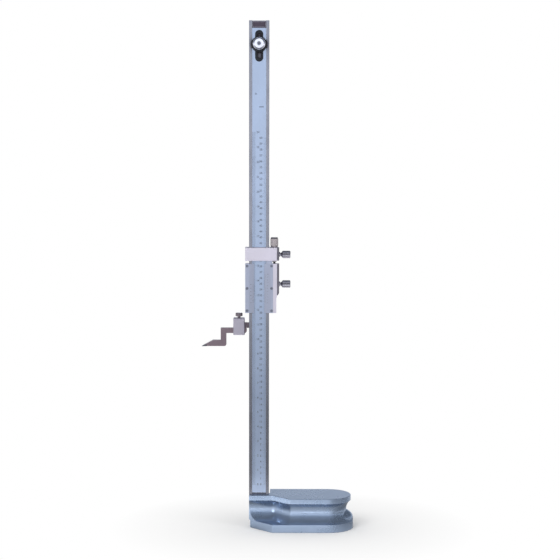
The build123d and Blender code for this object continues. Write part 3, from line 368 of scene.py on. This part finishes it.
# ---- the label plate ------------------------------------------------------------------------
# A strip of anodised aluminium at the head of the groove. It is bare, with a thin bright
# border that the punch left round its edge.
LABEL_DYE = "#514958"
LABEL_EDGE = "#a9a9b4"
LABEL_EDGE_LIGHT = "#c2c2cc"
ETCHED_GRAIN = 0.4 * MM
ETCHED_DEPTH = 0.003 * MM
LABEL_BORDER = 0.35 * MM    # width of the border
LABEL_MARGIN = 0.9 * MM     # from the plate's edge to it
LABEL_FILM = 0.01 * MM      # how far it stands proud

label_finish = bpy.data.materials.new("dyed_anodised_aluminium")
label_finish.use_nodes = True
tree = label_finish.node_tree
tree.nodes.clear()
spot = add_node(tree, "TexCoord").outputs["Object"]
etched = add_node(tree, "TexNoise", Vector=spot, Scale=1 / ETCHED_GRAIN, Detail=2.0)
bump = add_node(tree, "Bump", Height=etched, Strength=0.4, Distance=ETCHED_DEPTH)
dye = add_node(tree, "BsdfPrincipled", Base_Color=linear(LABEL_DYE), Metallic=0.45, Roughness=0.42,
               Normal=bump)
add_node(tree, "OutputMaterial", Surface=dye)
finish_with(label_finish, "label_plate")


def add_piece(name, mesh, material, body):
    """Puts a finished mesh on the gauge as a new piece."""
    mesh.materials.append(material)
    made = bpy.data.objects.new(name, mesh)
    bpy.context.scene.collection.objects.link(made)
    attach(made, body)


def frame_corners(low, high, inset):
    """The four corners of a plate's front, in X and Z, moved in from its edges."""
    left, right = low.x + inset, high.x - inset
    bottom, top = low.z + inset, high.z - inset
    return [(left, bottom), (right, bottom), (right, top), (left, top)]


bare_edge = ground_steel("bare_label_edge", LABEL_EDGE, LABEL_EDGE_LIGHT, along=0,
                         line=TURNING_LINE, roughness=0.3)
label_low, label_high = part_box("label_plate")
outer = frame_corners(label_low, label_high, LABEL_MARGIN)
inner = frame_corners(label_low, label_high, LABEL_MARGIN + LABEL_BORDER)
border_mesh = bpy.data.meshes.new("label_border")
border_mesh.from_pydata([(x, label_low.y - LABEL_FILM, z) for x, z in outer + inner], [],
                        [(n, (n + 1) % 4, 4 + (n + 1) % 4, 4 + n) for n in range(4)])
add_piece("label_border", border_mesh, bare_edge, "stand")

# ---- the main scale -------------------------------------------------------------------------
# A steel strip with a matt chromed face that doesn't glare, so the graduations read easily:
# millimetres along its right edge and fortieths of an inch along its left, cut and inked.
SCALE_CHROME = "#b0c0dc"
SCALE_CHROME_WORN = "#b8c8e3"
SCALE_GRAIN = 0.5 * MM
SCALE_GRAIN_DEPTH = 0.002 * MM
INK = "#484e61"
INK_RUBBED = "#646c80"
RUBBED_SPOT = 4 * MM
INCH = 25.4 * MM
SCALE_CM = 60
SCALE_INCHES = 24
ZERO_UP = 14.2 * MM         # zero line above the scale's lower end
CUTS_FROM_MIDDLE = 12.0 * MM
CUT = 0.13 * MM             # width of a graduation
CUT_LONG = 0.20 * MM        # and of a numbered one
# Visible lengths of the cuts in millimetres: every how many, length.
MILLIMETRE_CUTS = ((10, 5.8), (5, 4.8), (1, 3.7))
FORTIETH_CUTS = ((40, 7.2), (4, 6.4), (2, 5.8), (1, 5.2))
PROUD = 0.012 * MM          # the ink's film over the face
DIGIT = 3.5 * MM            # height of a numeral
DIGIT_BOLD = 0.09 * MM      # how much its strokes are thickened, each side
DIGIT_SHARE = 0.70          # a numeral's height over the lettering's size
CENTIMETRE_X = 3.0 * MM
INCH_X = -2.0 * MM
UNIT_MARKS = (("mm", 4.0 * MM, 653 * MM), ("in", -5.2 * MM, 675 * MM))

scale_chrome = satin_chrome("matt_chromed_scale", SCALE_CHROME, SCALE_CHROME_WORN, SCALE_GRAIN,
                            roughness=0.33, depth=SCALE_GRAIN_DEPTH)
finish_with(scale_chrome, "main_scale")

# The ink filled into the cuts is a dull dark blue, rubbed paler in places.
ink = bpy.data.materials.new("filled_graduation_ink")
ink.use_nodes = True
tree = ink.node_tree
tree.nodes.clear()
spot = add_node(tree, "TexCoord").outputs["Object"]
wear = add_node(tree, "TexNoise", Vector=spot, Scale=1 / RUBBED_SPOT, Detail=3.0)
rubbed = add_node(tree, "MapRange", Value=wear.outputs[0], From_Min=0.35, From_Max=0.75)
tint = add_node(tree, "Mix", {"data_type": "RGBA"}, Factor=rubbed.outputs[0],
                A=linear(INK), B=linear(INK_RUBBED))
enamel = add_node(tree, "BsdfPrincipled", Base_Color=tint, Roughness=0.55)
add_node(tree, "OutputMaterial", Surface=enamel)


def graduations(name, cuts, depth_at, body):
    """Inked cuts, each (left x, right x, z, width), as flat strips on a face whose y at x is
    depth_at(x)."""
    vertices = []
    faces = []
    for left, right, z, width in cuts:
        first = len(vertices)
        for x, side in ((left, -1), (right, -1), (right, 1), (left, 1)):
            vertices.append((x, depth_at(x) - PROUD, z + side * width / 2))
        faces.append(tuple(range(first, first + 4)))
    mesh = bpy.data.meshes.new(name)
    mesh.from_pydata(vertices, [], faces)
    add_piece(name, mesh, ink, body)


def numerals(name, texts, depth_at, body):
    """Inked texts, each (words, x, z, height), centred on x and z, on a face whose y at x is
    depth_at(x)."""
    together = bmesh.new()
    for words, x, z, height in texts:
        letters = bpy.data.curves.new("letters", "FONT")
        letters.body = words
        letters.size = height / DIGIT_SHARE
        letters.align_x = "CENTER"
        letters.align_y = "CENTER"
        letters.resolution_u = 3
        letters.offset = DIGIT_BOLD * height / DIGIT
        holder = bpy.data.objects.new("letters", letters)
        flat = bpy.data.meshes.new_from_object(holder)
        slope = math.atan2(depth_at(x + MM) - depth_at(x - MM), 2 * MM)
        flat.transform(Matrix.Translation((x, depth_at(x) - PROUD, z))
                       @ Matrix.Rotation(slope, 4, "Z") @ Matrix.Rotation(math.pi / 2, 4, "X"))
        together.from_mesh(flat)
        bpy.data.objects.remove(holder)
        bpy.data.curves.remove(letters)
        bpy.data.meshes.remove(flat)
    mesh = bpy.data.meshes.new(name)
    together.to_mesh(mesh)
    together.free()
    add_piece(name, mesh, ink, body)


scale_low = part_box("main_scale")[0]
scale_zero = scale_low.z + ZERO_UP


def scale_face(x):
    """Depth of the scale's face, the same at every x."""
    return scale_low.y


def reach(n, cuts):
    """Visible length of cut n, from a table of every how many and length, longest first."""
    return next(length * MM for every, length in cuts if n % every == 0)


millimetres = [(CUTS_FROM_MIDDLE - reach(n, MILLIMETRE_CUTS), CUTS_FROM_MIDDLE, scale_zero + n * MM,
                CUT if n % 10 else CUT_LONG) for n in range(SCALE_CM * 10 + 1)]
graduations("scale_millimetres", millimetres, scale_face, "scale")
fortieths = [(-CUTS_FROM_MIDDLE, reach(n, FORTIETH_CUTS) - CUTS_FROM_MIDDLE,
              scale_zero + n * INCH / 40, CUT if n % 40 else CUT_LONG)
             for n in range(SCALE_INCHES * 40 + 1)]
graduations("scale_inches", fortieths, scale_face, "scale")
centimetres = [(str(n), CENTIMETRE_X, scale_zero + n * 10 * MM, DIGIT) for n in range(SCALE_CM + 1)]
numerals("scale_metric_numerals", centimetres, scale_face, "scale")
inches = [(str(n), INCH_X, scale_zero + n * INCH, DIGIT) for n in range(SCALE_INCHES + 1)]
numerals("scale_inch_numerals", inches, scale_face, "scale")
numerals("scale_unit_marks", [(words, x, scale_zero + z, DIGIT) for words, x, z in UNIT_MARKS],
         scale_face, "scale")

# ---- the zero setting -----------------------------------------------------------------------
# The slot's liner with its rack and the adjusting wheel are blackened steel, almost black with
# an oily sheen. The pinion is turned brass, warm and dull, and so are the gibs further down. The
# lock knob is turned, knurled and bright chromed.
BLACK_OXIDE = "#13171f"
BLACK_OXIDE_DRY = "#1f242d"
OILY_SPOT = 6 * MM
POLISH_HAZE = 5 * MM
KNOB_CHROME = "#e2e4f2"
# The next colour is painted shade for the knob's knurl grooves and the eye in its face.
KNOB_RECESS_SHADE = "#2a2d34"
KNOB_RECESS = 6 * MM
BRASS = "#b08d4f"
BRASS_LIGHT = "#c6a566"

black_oxide = bpy.data.materials.new("blackened_steel")
black_oxide.use_nodes = True
tree = black_oxide.node_tree
tree.nodes.clear()
spot = add_node(tree, "TexCoord").outputs["Object"]
recess_shade = add_node(tree, "TexNoise", Vector=spot, Scale=1 / OILY_SPOT, Detail=3.0)
tint = add_node(tree, "Mix", {"data_type": "RGBA"}, Factor=recess_shade,
                A=linear(BLACK_OXIDE), B=linear(BLACK_OXIDE_DRY))
sheen = add_node(tree, "MapRange", Value=recess_shade.outputs[0], From_Min=0.3, From_Max=0.7,
                 To_Min=0.3, To_Max=0.45)
film = add_node(tree, "BsdfPrincipled", Base_Color=tint, Metallic=0.3, Roughness=sheen)
add_node(tree, "OutputMaterial", Surface=film)
finish_with(black_oxide, "scale_rack", "adjust_wheel", "feed_nut_clip", "feed_screw")


def bright_chrome(name, colour, recess_shade, recess):
    """Polished chrome, which shows small sharp lights. Grooves and corners up to recess wide
    get painted shade: ambient occlusion darkens them towards the given dark colour."""
    finish = bpy.data.materials.new(name)
    finish.use_nodes = True
    tree = finish.node_tree
    tree.nodes.clear()
    spot = add_node(tree, "TexCoord").outputs["Object"]
    # Painted shade: ambient occlusion darkens grooves and corners.
    hidden = add_node(tree, "AmbientOcclusion", {"samples": 8, "only_local": True},
                      Distance=recess)
    tint = add_node(tree, "Mix", {"data_type": "RGBA"}, Factor=hidden.outputs["AO"],
                    A=linear(recess_shade), B=linear(colour))
    haze = add_node(tree, "TexNoise", Vector=spot, Scale=1 / POLISH_HAZE, Detail=2.0)
    sheen = add_node(tree, "MapRange", Value=haze.outputs[0], From_Min=0.3, From_Max=0.7,
                     To_Min=0.14, To_Max=0.26)
    metal = add_node(tree, "BsdfPrincipled", Base_Color=tint, Metallic=1.0, Roughness=sheen)
    add_node(tree, "OutputMaterial", Surface=metal)
    return finish


knob_chrome = bright_chrome("bright_knob_chrome", KNOB_CHROME, KNOB_RECESS_SHADE, KNOB_RECESS)
finish_with(knob_chrome, "lock_knob")
brass = ground_steel("turned_brass", BRASS, BRASS_LIGHT, along=0, line=TURNING_LINE, roughness=0.3,
                     metallic=1.0)
finish_with(brass, "adjust_pinion", "slider_gib", "carrier_gib")

# ---- the slider and its vernier plates ------------------------------------------------------
# Matt chromed steel, paler and less blue than the base, without sharp lights. The plates are
# screwed on and bevelled down to thin reading edges: the right one has fiftieths of a
# millimetre and the left one thousandths of an inch.
HEAD_CHROME = "#efeafa"
HEAD_CHROME_WORN = "#f5f0fd"
HEAD_GRAIN = 0.6 * MM
JAW_STEEL = "#82767f"
PLATING_END = 0.2 * MM          # below the plates' lower ends
SIDE_STEEL = "#6f6c78"
SIDE_STEEL_LIGHT = "#85828d"
SCREW_CHROME = "#c2bfca"
# The next colour is painted shade for the clamp screws' knurl grooves.
SCREW_RECESS_SHADE = "#5a5a64"
SCREW_RECESS = 0.5 * MM
NUT_CHROME = "#b0a9ad"
# The next colour is painted shade for the feed nut's grooves.
NUT_RECESS_SHADE = "#3c3a3e"
NUT_RECESS = 1.2 * MM
VERNIER_CHROME = "#c2c9e0"
VERNIER_CHROME_WORN = "#cad1e6"
VERNIER_GRAIN = 0.5 * MM
VERNIER_ZERO_UP = 17.9 * MM     # zero line above the plates' lower ends
LEFT_FLAT = 6.8 * MM            # width of the flat part of each plate
RIGHT_FLAT = 3.5 * MM
EDGE_T = 0.35 * MM
PLATE_T = 2.8 * MM
VERNIER_STEPS = 50              # they are as long as 49 of the scale's
VERNIER_CUT = 0.08 * MM
FIFTIETH_CUTS = ((5, 4.6), (1, 3.2))
THOUSANDTH_CUTS = ((5, 4.0), (1, 2.8))
VERNIER_DIGIT = 1.3 * MM
FIFTIETH_NUMERAL_IN = 6.0 * MM  # from the reading edge to the middle of a numeral
THOUSANDTH_NUMERAL_IN = 5.6 * MM

head_chrome = satin_chrome("matt_chromed_head", HEAD_CHROME, HEAD_CHROME_WORN, HEAD_GRAIN,
                           roughness=0.42)
finish_with(head_chrome, "carrier", "carrier_back")

# The jaw is one piece with the slider, but the plating stops at the slider's lower end: the
# jaw's measuring faces are bare ground steel.
slider_chrome = satin_chrome("part_chromed_slider", HEAD_CHROME, HEAD_CHROME_WORN, HEAD_GRAIN,
                             roughness=0.42)
left_low, left_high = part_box("left_vernier")
right_low, right_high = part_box("right_vernier")
tree = slider_chrome.node_tree
height = add_node(tree, "SeparateXYZ", Vector=add_node(tree, "TexCoord").outputs["Object"])
bare = add_node(tree, "Math", {"operation": "LESS_THAN"})
tree.links.new(height.outputs["Z"], bare.inputs[0])
bare.inputs[1].default_value = left_low.z - PLATING_END
tinted_where(slider_chrome, bare.outputs[0], JAW_STEEL)
finish_with(slider_chrome, "slider_body")

vernier_chrome = satin_chrome("matt_chromed_vernier", VERNIER_CHROME, VERNIER_CHROME_WORN,
                              VERNIER_GRAIN, roughness=0.44)
finish_with(vernier_chrome, "left_vernier", "right_vernier")

# The side plates are ground steel, bare and dark like the column's flanks.
side_steel = ground_steel("ground_side_steel", SIDE_STEEL, SIDE_STEEL_LIGHT, along=2,
                          line=TURNING_LINE, roughness=0.38)
finish_with(side_steel, "slider_side_plate", "carrier_side_plate")

# The knurled clamp screws and feed nut get more use than the lock knob, so their chrome is
# duller, and painted shade darkens their grooves.
screw_chrome = bright_chrome("dull_screw_chrome", SCREW_CHROME, SCREW_RECESS_SHADE, SCREW_RECESS)
finish_with(screw_chrome, "slider_clamp_screw", "carrier_clamp_screw")
nut_chrome = bright_chrome("dull_nut_chrome", NUT_CHROME, NUT_RECESS_SHADE, NUT_RECESS)
finish_with(nut_chrome, "feed_nut")


def left_bevel(x):
    """Depth of the left plate's face at x."""
    start = left_low.x + LEFT_FLAT
    along = max(0.0, (x - start) / (left_high.x - start))
    return left_low.y + along * (PLATE_T - EDGE_T)


def right_bevel(x):
    """Depth of the right plate's face at x."""
    start = right_high.x - RIGHT_FLAT
    along = max(0.0, (start - x) / (start - right_low.x))
    return right_low.y + along * (PLATE_T - EDGE_T)


vernier_zero = left_low.z + VERNIER_ZERO_UP
metric_step = MM * (VERNIER_STEPS - 1) / VERNIER_STEPS
inch_step = INCH / 40 * (VERNIER_STEPS - 1) / VERNIER_STEPS
fiftieths = [(right_low.x, right_low.x + reach(n, FIFTIETH_CUTS), vernier_zero + n * metric_step,
              VERNIER_CUT) for n in range(VERNIER_STEPS + 1)]
graduations("vernier_fiftieths", fiftieths, right_bevel, "slider")
tenths = [(str(n), right_low.x + FIFTIETH_NUMERAL_IN, vernier_zero + n * 5 * metric_step,
           VERNIER_DIGIT) for n in range(VERNIER_STEPS // 5 + 1)]
numerals("vernier_metric_numerals", tenths, right_bevel, "slider")
thousandths = [(left_high.x - reach(n, THOUSANDTH_CUTS), left_high.x, vernier_zero + n * inch_step,
                VERNIER_CUT) for n in range(VERNIER_STEPS + 1)]
graduations("vernier_thousandths", thousandths, left_bevel, "slider")
tens = [(str(n), left_high.x - THOUSANDTH_NUMERAL_IN, vernier_zero + n * inch_step, VERNIER_DIGIT)
        for n in range(0, VERNIER_STEPS + 1, 10)]
numerals("vernier_inch_numerals", tens, left_bevel, "slider")

# ---- the scriber and its clamp --------------------------------------------------------------
# The clamp box is matt chromed, greyer than the head, and its knurled screw is the oiliest and
# darkest, with painted shade in its grooves. The scriber is hardened steel, ground lengthwise and
# slightly brown, and its tip is a darker, smoother piece of brazed carbide.
CLAMP_CHROME = "#c8c3d3"
CLAMP_CHROME_WORN = "#d1ccdb"
SCRIBER_STEEL = "#84757f"
SCRIBER_STEEL_LIGHT = "#968790"
CARBIDE = "#5b5c63"
CARBIDE_LIGHT = "#70727a"
CARBIDE_LINE = 0.2 * MM
OILED_CHROME = "#8c838b"
# The next colour is painted shade for the scriber clamp screw's knurl grooves.
OILED_CHROME_SHADE = "#34343c"
OILED_RECESS = 0.8 * MM

clamp_chrome = satin_chrome("matt_chromed_clamp", CLAMP_CHROME, CLAMP_CHROME_WORN, HEAD_GRAIN,
                            roughness=0.42)
finish_with(clamp_chrome, "scriber_clamp")
oiled_chrome = bright_chrome("oiled_screw_chrome", OILED_CHROME, OILED_CHROME_SHADE, OILED_RECESS)
finish_with(oiled_chrome, "scriber_clamp_screw")
scriber_steel = ground_steel("ground_scriber_steel", SCRIBER_STEEL, SCRIBER_STEEL_LIGHT, along=0,
                             line=TURNING_LINE, roughness=0.34)
finish_with(scriber_steel, "scriber")
carbide = ground_steel("ground_carbide", CARBIDE, CARBIDE_LIGHT, along=1, line=CARBIDE_LINE,
                       roughness=0.28)
finish_with(carbide, "scriber_tip")
